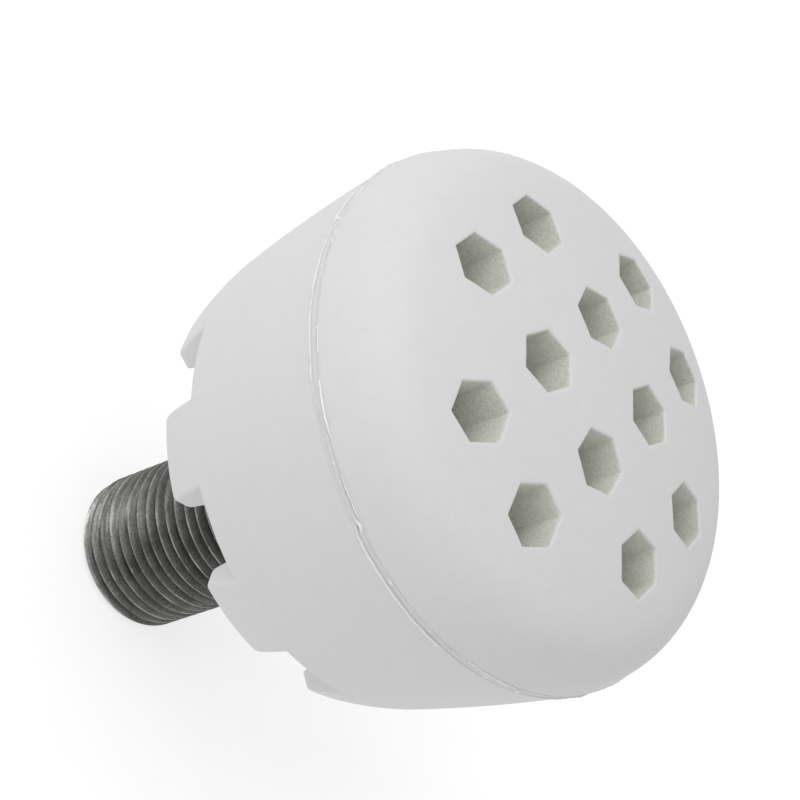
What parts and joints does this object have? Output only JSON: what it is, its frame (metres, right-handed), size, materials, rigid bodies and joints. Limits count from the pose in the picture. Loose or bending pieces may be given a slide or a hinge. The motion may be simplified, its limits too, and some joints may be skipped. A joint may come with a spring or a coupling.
{
  "type": "pneumatic muffler",
  "caption": "Domed exhaust muffler with hexagonal ports, a castellated rear skirt and a threaded steel inlet nipple, for quieting compressed air.",
  "frame": {"origin": "centre of the nipple's inlet end, where the muffler screws into a port", "axes": "+Z runs along the axis from the inlet end to the domed front; X and Y run along the rows of front ports"},
  "size_m": [0.0666, 0.0666, 0.0809],
  "materials": {
    "moulded_plastic": "fine matte moulded surface",
    "threaded_steel": "dark grey cut thread with bright crests",
    "zinc_plated_steel": "bright zinc plate",
    "sealing_rubber": "matte",
    "absorbing_felt": "coarse needled felt",
    "diffuser_plastic": "matte moulded surface"
  },
  "bodies": {
    "root": {"front_cap": "moulded_plastic", "rear_housing": "moulded_plastic", "inlet_nipple": "threaded_steel", "rear_lock_nut": "zinc_plated_steel", "rear_flat_washer": "zinc_plated_steel", "rear_seal_ring": "sealing_rubber", "inner_flat_washer": "zinc_plated_steel", "inner_lock_nut": "zinc_plated_steel", "diffuser_tube": "diffuser_plastic", "diffuser_end_cap": "diffuser_plastic", "inner_felt_sleeve": "absorbing_felt", "mesh_sleeve": "zinc_plated_steel", "felt_liner": "absorbing_felt", "rear_felt_pad": "absorbing_felt", "baffle_plate": "zinc_plated_steel", "baffle_screw": "zinc_plated_steel", "baffle_screw_washer": "zinc_plated_steel", "front_felt_disc": "absorbing_felt", "retaining_screen": "zinc_plated_steel"}
  },
  "joints": []
}
